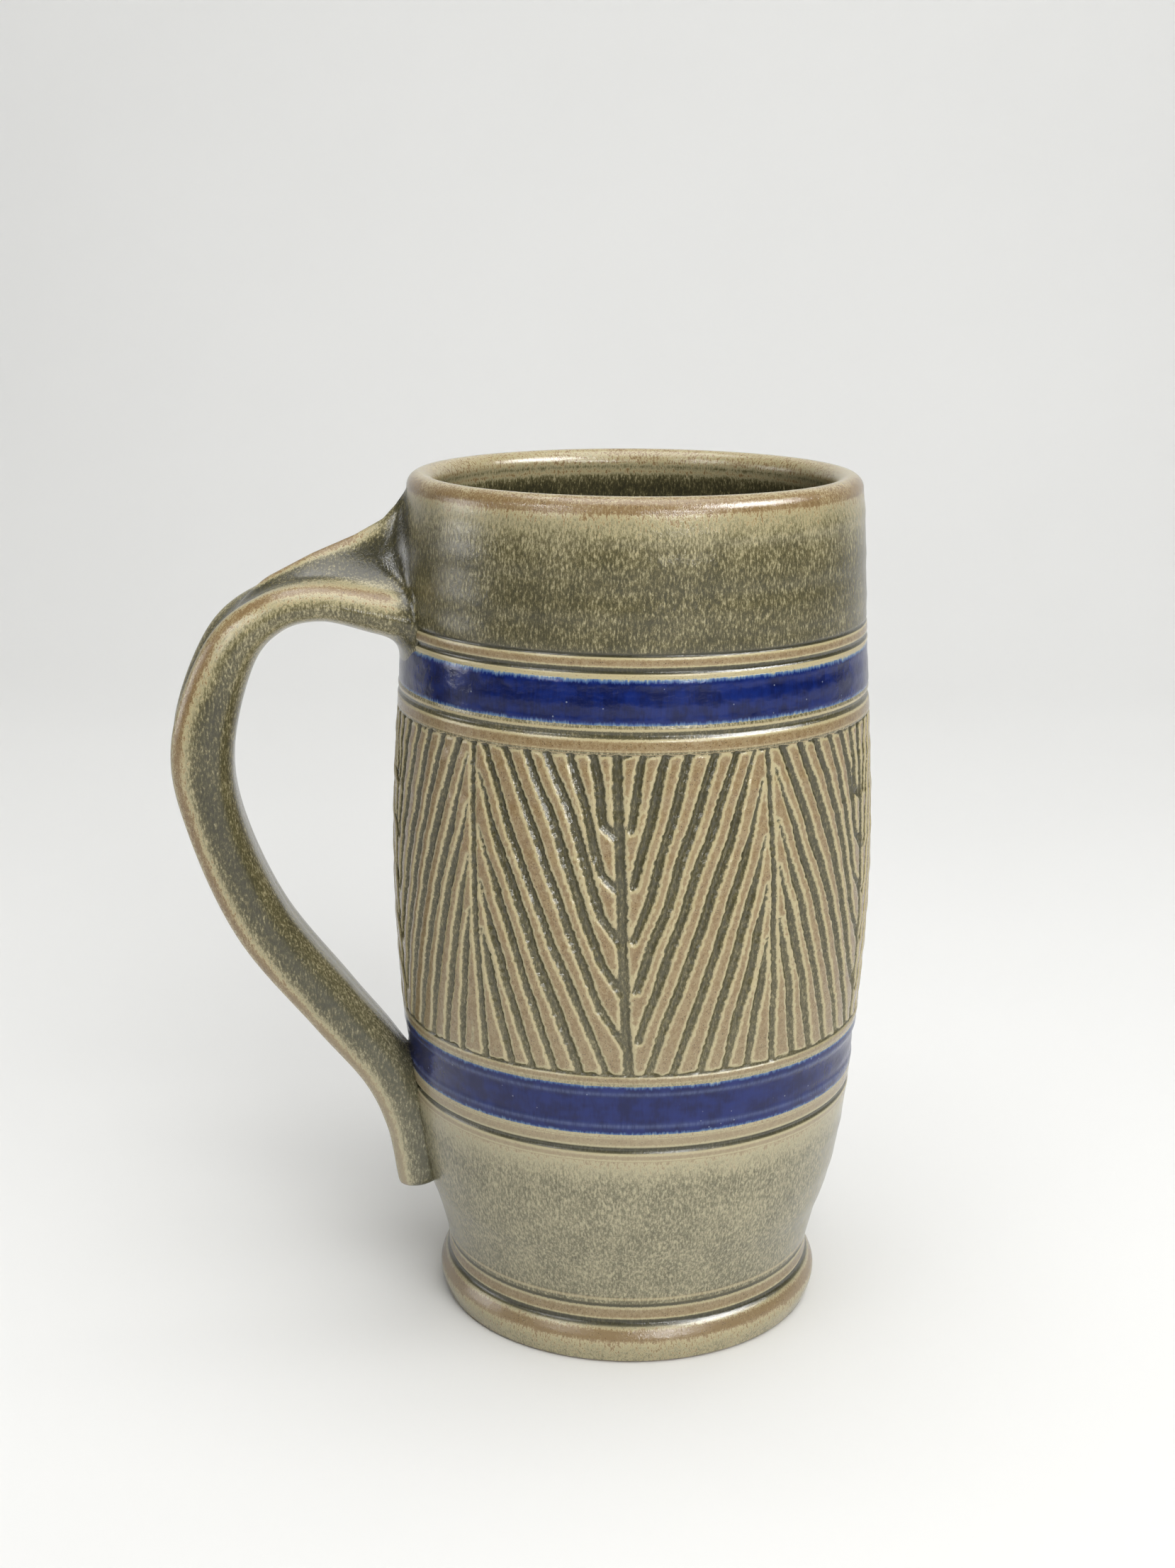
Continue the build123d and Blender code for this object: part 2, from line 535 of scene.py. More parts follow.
def outside_heights():
    """Heights of the rows up the outside: close together where there is relief."""
    (low_band, low_top), (high_band, high_top) = BAND_LEVELS
    carved_low, carved_high = CARVED_FIELD
    stretches = [
        (0.4, FOOT_LINES_TOP, FOOT_STEP),
        (FOOT_LINES_TOP, LOWER_LINES_START, PLAIN_STEP),
        (LOWER_LINES_START, low_band, TURNED_STEP),
        (low_band, low_top, BAND_STEP),
        (low_top, carved_low, TURNED_STEP),
        (carved_low, carved_high, CARVED_STEP),
        (carved_high, high_band, TURNED_STEP),
        (high_band, high_top, BAND_STEP),
        (high_top, UPPER_LINES_END, TURNED_STEP),
        (UPPER_LINES_END, LIP_START, PLAIN_STEP),
        (LIP_START, RIM_LEVEL, LIP_STEP),
    ]
    return np.concatenate([levels(*stretch) for stretch in stretches])


def body_rows():
    """Each row's radius, height, columns and part: the profile of the whole vessel."""
    rows = [(radius, 0.0, COLUMNS // 2, "base") for radius in BASE_RADII]
    low, high = CARVED_FIELD
    for height in outside_heights():
        columns = COLUMNS if low <= height < high else COLUMNS // 2
        rows.append((float(wall_radius(height)), height, columns, "outside"))
    centre = float(wall_radius(RIM_LEVEL)) - LIP_RADIUS
    for angle in np.linspace(0, pi, LIP_ROWS):
        radius, height = centre + LIP_RADIUS * cos(angle), RIM_LEVEL + LIP_RADIUS * sin(angle)
        rows.append((radius, height, COLUMNS // 2, "lip"))
    for height in np.arange(RIM_LEVEL - 0.8, INSIDE_CORNER + 1.0, -INSIDE_STEP):
        rows.append((float(wall_radius(height)) - WALL, height, COLUMNS // 2, "inside"))
    corner = [
        (float(wall_radius(INSIDE_CORNER)) - WALL, INSIDE_CORNER),
        (float(wall_radius(24.0)) - WALL - 0.8, 22.0),
        (FLOOR_RADIUS + 5.0, 13.0),
        (FLOOR_RADIUS - 2.0, FLOOR_HEIGHT),
        (FLOOR_RADIUS / 2, FLOOR_HEIGHT),
        (1.5, FLOOR_HEIGHT),
    ]
    for radius, height in curve_through(corner, 8):
        rows.append((radius, height, COLUMNS // 2, "inside"))
    return rows


def throwing_rings(theta, height):
    """The faint spirals that a thrower's fingers leave, and a little out-of-roundness."""
    turn = np.radians(theta)
    spiral = 0.05 * np.sin(tau * height / 7.3 + turn) + 0.03 * np.sin(tau * height / 3.9 - turn)
    return spiral + 0.10 * np.cos(2 * turn + 0.8) + 0.05 * np.cos(3 * turn + height / 40)


def unevenness(theta, height, part):
    """Throwing rings for a row of the body, which fade towards the foot and spare the base."""
    if part == "base":
        return 0 * theta
    fade = float(smooth(height, 6, 30)) if part == "outside" else 1.0
    return throwing_rings(theta, height) * fade


def circle(reach, theta, height):
    """Points round the body at one height, this far from its axis."""
    turn = np.radians(theta)
    return np.column_stack([reach * np.sin(turn), -reach * np.cos(turn), 0 * turn + height])


def row_relief(height, part, edge, depth):
    """How far a row's relief moves it: into a channel under a band, or into grooves."""
    if part == "outside" and any(low < height < high for low, high in BAND_LEVELS):
        return -CHANNEL_DEPTH
    return groove_relief(edge, depth)


def body_arrays():
    """The body's rows of points, and the glaze attributes of each row."""
    rows = body_rows()
    carved_heights = np.array([row[1] for row in rows if row[2] == COLUMNS])
    carved_theta = np.arange(COLUMNS) * 360 / COLUMNS
    carved = iter(carved_field(carved_theta[None, :], carved_heights[:, None]))
    points, edges, lands, tones = [], [], [], []
    for radius, height, columns, part in rows:
        edge, land, depth = FAR, 0.0, 0.0
        if columns == COLUMNS:
            edge, land, depth = next(carved), 1.0, STROKE_DEPTH
        elif part in ("outside", "lip"):
            edge, land = turned_lines(height)
            depth = LINE_DEPTH
        theta = np.arange(columns) * 360 / columns
        relief = row_relief(height, part, edge, depth)
        reach = radius + unevenness(theta, height, part) + relief
        points.append(circle(reach, theta, height))
        edges.append(np.broadcast_to(edge, columns))
        lands.append(np.full(columns, land))
        tones.append(np.full(columns, body_tone(radius, height, part)))
    return points, edges, lands, tones


def body_tone(radius, height, part):
    """How thick the glaze lies on a row of the body. Under -1.3 there is none."""
    if part == "base":
        return BARE
    if part == "lip":
        outward = (radius - float(wall_radius(RIM_LEVEL)) + LIP_RADIUS) / LIP_RADIUS
        return -0.66 - 0.26 * float(smooth(outward, 0.1, 0.9))
    if part == "inside":
        depths, tones = zip(*INSIDE_TONE)
        return float(np.interp(RIM_LEVEL - height, depths, tones))
    heights, tones = zip(*OUTSIDE_TONE)
    return float(np.interp(height, heights, tones))


def ring_faces(starts, counts):
    """Faces between rings of vertices, also where one ring has twice as many as the next."""
    faces = []
    for index in range(len(counts) - 1):
        here, above = starts[index], starts[index + 1]
        few = min(counts[index], counts[index + 1])
        for i in range(few):
            j, k = (i + 1) % few, 2 * i
            last = (k + 2) % (2 * few)
            if counts[index] == counts[index + 1]:
                faces.append((here + i, here + j, above + j, above + i))
            elif counts[index] < counts[index + 1]:
                faces.append((here + i, above + k + 1, above + k))
                faces.append((here + i, here + j, above + last, above + k + 1))
            else:
                faces.append((here + k, here + k + 1, above + i))
                faces.append((here + k + 1, here + last, above + j, above + i))
    return faces


def add_object(name, data):
    """A new object in the scene."""
    thing = bpy.data.objects.new(name, data)
    bpy.context.scene.collection.objects.link(thing)
    return thing


def add_mesh(name, points, faces, material):
    """A smooth-shaded mesh object from points in metres."""
    mesh = bpy.data.meshes.new(name)
    mesh.from_pydata(points, [], faces)
    mesh.polygons.foreach_set("use_smooth", [True] * len(mesh.polygons))
    mesh.materials.append(material)
    return add_object(name, mesh)


def make_piece(name, points, faces, material, attributes):
    """A piece of the stein from points in millimetres, with its glaze attributes."""
    piece = add_mesh(name, (np.asarray(points) * MM).tolist(), faces, material)
    for label, values in attributes.items():
        layer = piece.data.attributes.new(label, "FLOAT", "POINT")
        layer.data.foreach_set("value", np.asarray(values, np.float32))
    return piece


def capped_rings(rows, first_centre, last_centre):
    """Vertices and faces of a closed surface: rings, with a fan at each end."""
    counts = [len(row) for row in rows]
    starts = np.concatenate([[0], np.cumsum(counts)])
    points = np.vstack([*rows, first_centre, last_centre])
    faces = ring_faces(starts, counts)
    first, last = len(points) - 2, len(points) - 1
    faces += [(first, (i + 1) % counts[0], i) for i in range(counts[0])]
    end = starts[len(counts) - 1]
    faces += [(last, end + i, end + (i + 1) % counts[-1]) for i in range(counts[-1])]
    return points, faces


def build_body(material):
    """The thrown body as one closed mesh with its real carving."""
    points, edges, lands, tones = body_arrays()
    vertices, faces = capped_rings(points, (0, 0, 0), (0, 0, FLOOR_HEIGHT))
    # The last two values are those of the centres of the underside and of the floor.
    attributes = {
        "edge": np.concatenate([*edges, [FAR, FAR]]),
        "land": np.concatenate([*lands, [0.0, 0.0]]),
        "tone": np.concatenate([*tones, [BARE, 0.25]]),
    }
    return make_piece("carved_body", vertices, faces, material, attributes)


# The glaze bands.

# How much a band bulges between its edges, how far its inner face is let into the wall, and the
# depth of the lower band's cove, which leaves a margin at the top and one at the bottom.
BAND_BULGE = 0.12
BAND_INSET = 0.65
COVE_DEPTH = 0.30
COVE_LOW_MARGIN = 2.0
COVE_HIGH_MARGIN = 1.9


def band_section(low, high, cove):
    """The outer surface of a band by height: its bulge, how near its edge is, and where the
    glaze thins over the corners of its cove."""
    heights = np.linspace(low, high, round((high - low) / 0.3) + 1)
    edge = np.minimum(heights - low, high - heights)
    bulge = BAND_BULGE * smooth(edge, 0, 1.2) - BAND_BULGE
    corner = np.zeros(heights.shape)
    if cove:
        cove_low, cove_high = low + COVE_LOW_MARGIN, high - COVE_HIGH_MARGIN
        depth_in = np.minimum(heights - cove_low, cove_high - heights)
        bulge = bulge - COVE_DEPTH * smooth(depth_in, -0.2, 1.0)
        corner = np.exp(-((depth_in / 0.35) ** 2))
    return heights, bulge, edge, corner


def build_band(name, low, high, cove, material):
    """One band as a closed ring that fills its channel."""
    columns = COLUMNS // 2
    theta = np.arange(columns) * 360 / columns
    heights, bulge, edge, corner = band_section(low, high, cove)
    loop_heights = np.concatenate([heights, heights[::-1]])
    loop_bulge = np.concatenate([bulge, np.full(len(heights), -BAND_INSET)])
    plain = np.zeros(len(heights))
    loop_edge = np.concatenate([edge, plain])
    loop_corner = np.concatenate([corner, plain])
    points = []
    for height, lift in zip(loop_heights, loop_bulge, strict=True):
        reach = wall_radius(height) + lift + throwing_rings(theta, height)
        points.append(circle(reach, theta, height))
    # The last row joins up with the first.
    starts = [columns * i for i in range(len(points))] + [0]
    faces = ring_faces(starts, [columns] * len(starts))
    attributes = {"edge": np.repeat(loop_edge, columns), "corner": np.repeat(loop_corner, columns)}
    return make_piece(name, np.vstack(points), faces, material, attributes)


# The handle.


def strap_outline():
    """The whole outline of the strap's section, from the middle of its outer face round to it
    again, with the same columns as STRAP_OUTLINE."""
    mirrored = [(-across, *rest) for across, *rest in STRAP_OUTLINE[-2:0:-1]]
    return closed_curve_through(STRAP_OUTLINE + mirrored, 6)


def strap_grid(outline):
    """The strap as a grid of points: rings along its run, each with the outline's points."""
    run = curve_through(STRAP_STATIONS, RINGS)
    centre = np.column_stack([-run[:, 0], np.zeros(len(run)), run[:, 1]])
    ahead = np.gradient(centre, axis=0)
    ahead /= np.linalg.norm(ahead, axis=1)[:, None]
    outward = np.column_stack([ahead[:, 2], np.zeros(len(run)), -ahead[:, 0]])
    sideways = np.array([0.0, -1.0, 0.0])
    across = outline[None, :, 0] * run[:, 2][:, None]
    through = outline[None, :, 1] * run[:, 3][:, None] / 2 - THUMB_CHANNEL * outline[None, :, 2]
    grid = centre[:, None, :] + across[:, :, None] * sideways
    grid += through[:, :, None] * outward[:, None, :]
    raise_web(outline, grid)
    return grid


def raise_web(outline, grid):
    """Lifts the middle of the strap's first spans up to the crest of the web."""
    reach = -grid[..., 0]
    distances, crest = zip(*WEB_CREST)
    rise = web_share(outline, reach) * (np.interp(reach, distances, crest) - grid[..., 2])
    on_web = (np.arange(len(grid)) < WEB_RINGS)[:, None]
    grid[..., 2] += np.where(on_web, rise, 0)


def web_share(outline, reach):
    """How much of the web's rise each point takes: all along the crest, none at the ridges."""
    from_crest = (np.hypot(outline[:, 0], 0.06) - 0.06) / WEB_SHARE
    flank = np.clip(1 - from_crest, 0, 1) ** 1.4 * (outline[:, 1] > 0.5)
    return flank[None, :] * (1 - smooth(reach, *WEB_START))


def off_wall(points):
    """How far points stand off the body's outer surface."""
    radius = np.hypot(points[..., 0], points[..., 1])
    return radius - wall_radius(points[..., 2])


def onto_wall(point, lift):
    """A point moved straight out or in until it stands this far off the wall or the lip."""
    height = min(point[2], TOTAL_HEIGHT - 0.6)
    radius = float(wall_radius(min(height, RIM_LEVEL)))
    if height > RIM_LEVEL:
        radius -= LIP_RADIUS - (LIP_RADIUS**2 - (height - RIM_LEVEL) ** 2) ** 0.5
    flat = np.array([point[0], point[1], 0.0])
    return flat / np.linalg.norm(flat) * (radius + lift) + np.array([0, 0, height])


def along_line(line, distances):
    """Points at distances along a line of points, and the line's length."""
    lengths = np.concatenate([[0], np.cumsum(np.linalg.norm(np.diff(line, axis=0), axis=1))])
    points = np.column_stack([np.interp(distances, lengths, line[:, k]) for k in range(3)])
    return points, lengths[-1]


def fillet_size(across, through):
    """How far the upper joint's fillet runs over the strap and over the wall."""
    above = float(smooth(through, 0.3, 1.0))
    below = float(smooth(-through, 0.4, 1.0))
    flank = np.exp(-(((abs(across) - 0.3) / 0.16) ** 2))
    return FILLET + above * (FILLET_ABOVE + FILLET_AT_WEB * flank) + FILLET_BELOW * below


def wall_crossings(grid):
    """Where each line along the strap comes out of the wall, and the lines from there on."""
    crossings, lines = [], []
    for j in range(grid.shape[1]):
        clear = off_wall(grid[:, j])
        first = np.argmax(clear > 0)
        share = -clear[first - 1] / (clear[first] - clear[first - 1])
        crossing = grid[first - 1, j] + share * (grid[first, j] - grid[first - 1, j])
        crossings.append(crossing)
        lines.append(np.vstack([crossing, grid[first : JOINT_RINGS + 1, j]]))
    return np.array(crossings), lines


def joint_rows(outline, grid):
    """Rows of the upper joint: from inside the wall, over the fillet, to the first ring of the
    strap that stands clear."""
    crossings, lines = wall_crossings(grid)
    tangents = np.roll(crossings, -1, axis=0) - np.roll(crossings, 1, axis=0)
    middle = crossings.mean(axis=0)
    bends = np.linspace(0, 1, BEND_ROWS)
    columns = []
    for j, crossing in enumerate(crossings):
        fillet = fillet_size(outline[j, 0], outline[j, 1])
        radial = crossing * (1, 1, 0) / np.linalg.norm(crossing[:2])
        away = np.cross(tangents[j], radial)
        away *= np.sign(away @ (crossing - middle)) / np.linalg.norm(away)
        foot = onto_wall(crossing + fillet * away, -0.12)
        (start, *_), length = along_line(lines[j], [fillet])
        bend = [(1 - t) ** 2 * foot + 2 * t * (1 - t) * crossing + t * t * start for t in bends]
        shares = np.linspace(0, 1, JOINT_ROWS)[1:]
        rest, _ = along_line(lines[j], fillet + (length - fillet) * shares)
        columns.append(np.vstack([onto_wall(crossing, -2.0), *bend, rest]))
    return np.stack(columns, axis=1)


def tail_rows(grid):
    """Rows that round off the strap's lower end."""
    last = grid[-1]
    middle = last.mean(axis=0)
    ahead = (grid[-1] - grid[-2]).mean(axis=0)
    ahead /= np.linalg.norm(ahead)
    rows = []
    for angle in np.linspace(0.2, TAIL_TURN, 7):
        shrink = 1 - TAIL_SHRINK * (1 - cos(angle)) / (1 - cos(TAIL_TURN))
        rows.append(middle + (last - middle) * shrink + ahead * TAIL_LENGTH * sin(angle))
    rows.append(middle + (last - middle) * TIP_SHRINK + ahead * TAIL_TIP)
    return np.stack(rows)


def handle_tone(outline, points):
    """How thick the glaze lies on the handle: thin over the ridges and the web's crest, pooled
    in the thumb channel and in the crevice at the wall. Near the wall the tone is also raised as
    painted shade, and under the arch it is lowered as painted light from below."""
    stand = off_wall(points)
    clear = smooth(stand, 0.5, 5.0)
    # The side and underside under the arch are made paler: painted light bounced up from the floor.
    painted_light_under_arch = smooth(points[..., 2], 116.0, 132.0) * (outline[:, 1] < 0.5)[None, :]
    tone = outline[None, :, 3] - 0.45 * painted_light_under_arch
    web = web_share(outline, -points[..., 0]) * (points[..., 2] > 120)
    crest = smooth(web, 0.70, 0.92) * smooth(stand, 3.0, 10.0)
    flank = smooth(web, 0.06, 0.30) * (1 - smooth(web, 0.70, 0.92))
    tone = tone * (1 - smooth(web, 0.05, 0.30)) + 0.55 * flank - 0.92 * crest
    # The flank is darker near the wall, and the crevice at the wall darker still: pooled glaze
    # there, with painted shade.
    tone = tone * clear + 0.35 * flank * (1 - smooth(stand, 4.0, 14.0))
    return tone + 0.5 * np.exp(-(((stand - 1.0) / 1.6) ** 2))


def spread_tail(points):
    """The strap with its lower end spread a little where it touches the wall."""
    stand = off_wall(points)
    away = points - points.mean(axis=1, keepdims=True)
    away /= np.linalg.norm(away, axis=2, keepdims=True)
    low = (points[..., 2] < FLARE_TOP) & (stand > -0.5)
    closeness = np.clip(FLARE_REACH - stand, 0, FLARE_REACH)
    spread = np.where(low, closeness**2 / (4 * FLARE_REACH), 0)
    return points + away * spread[..., None]


def build_handle(material):
    """The pulled handle as one closed mesh that grows out of the wall at its upper joint."""
    outline = strap_outline()
    grid = strap_grid(outline)
    rows = [joint_rows(outline, grid), grid[JOINT_RINGS + 1 :], tail_rows(grid)]
    points = spread_tail(np.concatenate(rows))
    tone = handle_tone(outline, points)
    # Each ring's points are taken the other way round, so that the faces look outwards.
    points, tone = points[:, ::-1], tone[:, ::-1]
    vertices, faces = capped_rings(list(points), points[0].mean(axis=0), points[-1].mean(axis=0))
    tone = np.append(tone.ravel(), [0.0, 0.0])
    attributes = {"edge": np.full(tone.shape, FAR), "land": 0 * tone, "tone": tone}
    return make_piece("glazed_handle", vertices, faces, material, attributes)


# Materials.


def srgb(red, green, blue):
    """A colour given as display values from 0 to 255, in the linear values that shaders use."""
    shares = [channel / 255 for channel in (red, green, blue)]
    linear = [s / 12.92 if s <= 0.04045 else ((s + 0.055) / 1.055) ** 2.4 for s in shares]
    return (*linear, 1.0)


class Graph:
    """A material's node tree, with a short call for each kind of node that it needs."""

    def __init__(self, name):
        self.material = bpy.data.materials.new(name)
        self.material.use_nodes = True
        self.tree = self.material.node_tree
        self.tree.nodes.clear()
        metres = self.node("ShaderNodeTexCoord").outputs["Object"]
        self.place = self.vector("SCALE", {0: metres, 3: 1 / MM})

    def node(self, kind, inputs=None, **settings):
        node = self.tree.nodes.new(kind)
        for key, value in settings.items():
            setattr(node, key, value)
        for key, value in (inputs or {}).items():
            if isinstance(value, bpy.types.NodeSocket):
                self.tree.links.new(value, node.inputs[key])
            else:
                node.inputs[key].default_value = value
        return node

    def math(self, operation, first, second=0.0):
        return self.node("ShaderNodeMath", {0: first, 1: second}, operation=operation).outputs[0]

    def vector(self, operation, inputs):
        return self.node("ShaderNodeVectorMath", inputs, operation=operation).outputs[0]

    def add(self, first, second):
        return self.math("ADD", first, second)

    def times(self, first, second):
        return self.math("MULTIPLY", first, second)

    def attribute(self, name):
        return self.node("ShaderNodeAttribute", attribute_name=name).outputs["Fac"]

    def noise(self, across, up, seed, detail=2.0, roughness=0.55):
        """Noise centred on 0 with about this many features per mm across and up."""
        where = self.vector("MULTIPLY", {0: self.place, 1: (across, across, up)})
        where = self.vector("ADD", {0: where, 1: (seed, 2 * seed, -seed)})
        inputs = {"Vector": where, "Scale": 1.0, "Detail": detail, "Roughness": roughness}
        return self.add(self.node("ShaderNodeTexNoise", inputs).outputs[0], -0.5)

    def step(self, value, low, high, start=0.0, end=1.0):
        """A smooth step of a value between two levels."""
        inputs = {"Value": value, "From Min": low, "From Max": high, "To Min": start, "To Max": end}
        return self.node("ShaderNodeMapRange", inputs, interpolation_type="SMOOTHSTEP").outputs[0]

    def mix(self, share, first, second):
        inputs = {0: share, 6: first, 7: second}
        return self.node("ShaderNodeMix", inputs, data_type="RGBA").outputs[2]

    def ramp(self, value, low, high, stops):
        """Colours by value, with stops given as (value, colour)."""
        inputs = {"Value": value, "From Min": low, "From Max": high}
        share = self.node("ShaderNodeMapRange", inputs).outputs[0]
        node = self.node("ShaderNodeValToRGB", {0: share})
        elements = node.color_ramp.elements
        while len(elements) < len(stops):
            elements.new(0.5)
        for element, (level, colour) in zip(elements, stops, strict=True):
            element.position = (level - low) / (high - low)
            element.color = colour
        return node.outputs[0]

    def specks(self, per_mm, size, share, seed):
        """1 inside scattered round dots and 0 outside."""
        where = self.vector("ADD", {0: self.place, 1: (seed, seed, seed)})
        cells = self.node("ShaderNodeTexVoronoi", {"Vector": where, "Scale": per_mm})
        near = self.step(cells.outputs["Distance"], size, size * 0.6)
        chosen = self.node("ShaderNodeSeparateColor", {0: cells.outputs["Color"]}).outputs[0]
        return self.times(near, self.math("LESS_THAN", chosen, share))

    def finish(self, colour, roughness, bumps, uniform):
        """Ends the tree in its surface. Bumps are pairs of a depth in mm and a value, and uniform
        holds settings that are the same all over."""
        normal = None
        for depth, height in bumps:
            inputs = {"Strength": 1.0, "Distance": depth * MM, "Height": height}
            if normal is not None:
                inputs["Normal"] = normal
            normal = self.node("ShaderNodeBump", inputs).outputs[0]
        inputs = {"Base Color": colour, "Roughness": roughness, "Normal": normal, **uniform}
        surface = self.node("ShaderNodeBsdfPrincipled", inputs)
        self.node("ShaderNodeOutputMaterial", {"Surface": surface.outputs[0]})
        return self.material


DARK_BROWN = srgb(82, 64, 44)
BROWN = srgb(135, 111, 76)
TAN = srgb(155, 135, 99)
CREAM = srgb(186, 173, 133)
PALE_OLIVE = srgb(162, 154, 120)
LIGHT_OLIVE = srgb(138, 130, 97)
OLIVE = srgb(106, 99, 69)
DARK_OLIVE = srgb(76, 72, 49)
DEEP_OLIVE = srgb(54, 52, 38)
PALE_GREY = srgb(180, 174, 150)
DARK_GREY = srgb(112, 111, 92)
CLAY = srgb(168, 138, 108)

GREY_GREEN = srgb(150, 160, 150)
FADED_BLUE = srgb(84, 112, 150)
MIDDLE_BLUE = srgb(38, 56, 120)
CORNER_BLUE = srgb(92, 104, 140)
SPECK_BLUE = srgb(150, 160, 180)
UPPER_BLUES = (srgb(8, 20, 68), srgb(15, 36, 104))
LOWER_BLUES = (srgb(24, 30, 76), srgb(32, 44, 104))

GREY_PAPER = srgb(233, 233, 231)
WHITE_PAPER = srgb(238, 238, 236)

# How smooth and how strong reflections are on each material.
GLAZE_ROUGHNESS = 0.16
GLAZE_IOR = 1.58
BLUE_ROUGHNESS = 0.20
BLUE_IOR = 1.42
PAPER_ROUGHNESS = 0.90
PAPER_IOR = 1.30

# The glaze's colour by its thickness, from thin and brown to pooled.
THINNEST = -1.4
THICKEST = 1.1
GLAZE_COLOURS = [
    (-1.30, BROWN),
    (-1.00, BROWN),
    (-0.82, TAN),
    (-0.62, CREAM),
    (-0.36, PALE_OLIVE),
    (-0.10, LIGHT_OLIVE),
    (0.14, OLIVE),
    (0.45, DARK_OLIVE),
    (0.95, DEEP_OLIVE),
]

# The colour of a ridge near its edge, and of a blue band near its edge, by distance in mm.
RIDGE_EDGE = [(0.0, CREAM), (0.28, CREAM), (0.44, TAN), (0.85, TAN)]
BLUE_EDGE = [(0.0, CREAM), (0.18, GREY_GREEN), (0.45, FADED_BLUE), (0.9, MIDDLE_BLUE)]


def glaze_thickness(g, tone, flecks, fine, mottle):
    """The glaze's thickness all over: its tone with streaks, blotches and grain. Light streaks
    are stronger than dark ones, and both are weaker where the glaze is thin."""
    light_streaks = g.times(g.math("ABSOLUTE", flecks), -0.35)
    streaky = g.times(g.add(flecks, light_streaks), g.step(tone, -0.95, -0.30, 1.3, 2.7))
    return g.add(g.add(tone, streaky), g.add(g.times(mottle, 0.5), g.times(fine, 0.8)))


def ridge_colour(g, edge, grain, specks):
    """A ridge's colour: cream and tan at its edge, brown with dark specks further in, and a
    broken cream in the middle of a wide ridge."""
    brown = g.mix(g.step(grain, -0.15, 0.15), BROWN, TAN)
    near_edge = g.ramp(edge, -0.2, 1.2, RIDGE_EDGE)
    ridge = g.mix(g.step(edge, 0.45, 0.70), near_edge, g.mix(specks, brown, DARK_BROWN))
    crackle = g.mix(g.step(grain, -0.06, 0.10), CREAM, LIGHT_OLIVE)
    return g.mix(g.step(edge, 1.35, 1.75), ridge, g.mix(0.75, ridge, crackle))


def greyed(g, colour, thickness, edge):
    """The colour mixed with grey low down on the body, though less on the foot and in grooves."""
    height = g.node("ShaderNodeSeparateXYZ", {0: g.place}).outputs[2]
    grey = g.mix(g.step(thickness, -0.5, 0.7), PALE_GREY, DARK_GREY)
    low_down = g.step(height, 90.0, 20.0, 0.0, 0.48)
    off_foot = g.step(height, 8.0, 15.0, 0.25, 1.0)
    off_grooves = g.step(edge, -0.3, 0.1, 0.3, 1.0)
    return g.mix(g.times(g.times(low_down, off_foot), off_grooves), colour, grey)


def stoneware_glaze():
    """Olive glaze that breaks to cream and brown where it is thin and pools dark in grooves."""
    g = Graph("breaking_olive_glaze")
    flecks = g.noise(2.7, 0.95, 3.1, 3.0, 0.68)
    fine = g.noise(5.0, 4.2, 8.7)
    grain = g.add(g.noise(1.1, 1.1, 1.9), fine)
    mottle = g.noise(0.20, 0.13, 5.3)
    specks = g.specks(2.6, 0.30, 0.40, 4.0)
    tone = g.attribute("tone")
    edge = g.add(g.attribute("edge"), g.add(g.times(flecks, 0.7), g.times(fine, 0.35)))
    thickness = glaze_thickness(g, tone, flecks, fine, mottle)
    smooth_glaze = g.ramp(thickness, THINNEST, THICKEST, GLAZE_COLOURS)
    thin = g.step(thickness, -0.75, -0.95)
    smooth_glaze = g.mix(g.times(thin, specks), smooth_glaze, DARK_BROWN)
    on_ridge = g.step(g.attribute("land"), 0.3, 0.7)
    colour = g.mix(on_ridge, smooth_glaze, ridge_colour(g, edge, grain, specks))
    pooled_thickness = g.add(g.times(g.add(thickness, tone), 0.6), 0.50)
    pooled = g.ramp(pooled_thickness, THINNEST, THICKEST, GLAZE_COLOURS)
    colour = g.mix(g.step(edge, 0.04, -0.22), colour, pooled)
    colour = greyed(g, colour, thickness, edge)
    bare = g.step(tone, -1.3, -1.7)
    colour = g.mix(bare, colour, CLAY)
    roughness = g.add(g.add(g.times(fine, 0.12), g.times(bare, 0.6)), GLAZE_ROUGHNESS)
    bumps = [(0.10, mottle), (0.05, flecks), (0.03, fine)]
    return g.finish(colour, roughness, bumps, {"IOR": GLAZE_IOR})


def blue_glaze(name, deep, bright):
    """Cobalt glaze with feathered pale edges and corners, and a few pale specks."""
    g = Graph(name)
    streaks = g.noise(2.2, 0.35, 6.6, 3.0, 0.6)
    cloud = g.noise(0.25, 0.35, 2.4)
    fine = g.noise(3.0, 3.0, 9.1)
    edge = g.add(g.attribute("edge"), g.add(g.times(streaks, 1.5), g.times(cloud, 0.6)))
    middle = g.mix(g.step(g.add(cloud, g.times(streaks, 0.5)), -0.2, 0.25), deep, bright)
    feather = g.ramp(edge, -0.4, 1.2, BLUE_EDGE)
    colour = g.mix(g.step(edge, 0.5, 1.1), feather, middle)
    corner = g.times(g.attribute("corner"), g.add(g.times(streaks, 1.2), 0.5))
    colour = g.mix(corner, colour, CORNER_BLUE)
    colour = g.mix(g.times(g.specks(0.5, 0.09, 0.5, 7.0), 0.6), colour, SPECK_BLUE)
    roughness = g.add(g.times(fine, 0.08), BLUE_ROUGHNESS)
    return g.finish(colour, roughness, [(0.15, cloud), (0.02, fine)], {"IOR": BLUE_IOR})


# Stage, light and camera.

# Where the camera stands: its angle round the body, its distance from the axis and its height.
# Then how it is turned: down, to the left and round its own axis, in degrees.
CAMERA_ANGLE = -10.0
CAMERA_DISTANCE = 388.6
CAMERA_HEIGHT = 202.7
CAMERA_TILT = 14.67
CAMERA_HEADING = 1.23
CAMERA_ROLL = 0.29
LENS = 48.84
SENSOR_WIDTH = 36.0

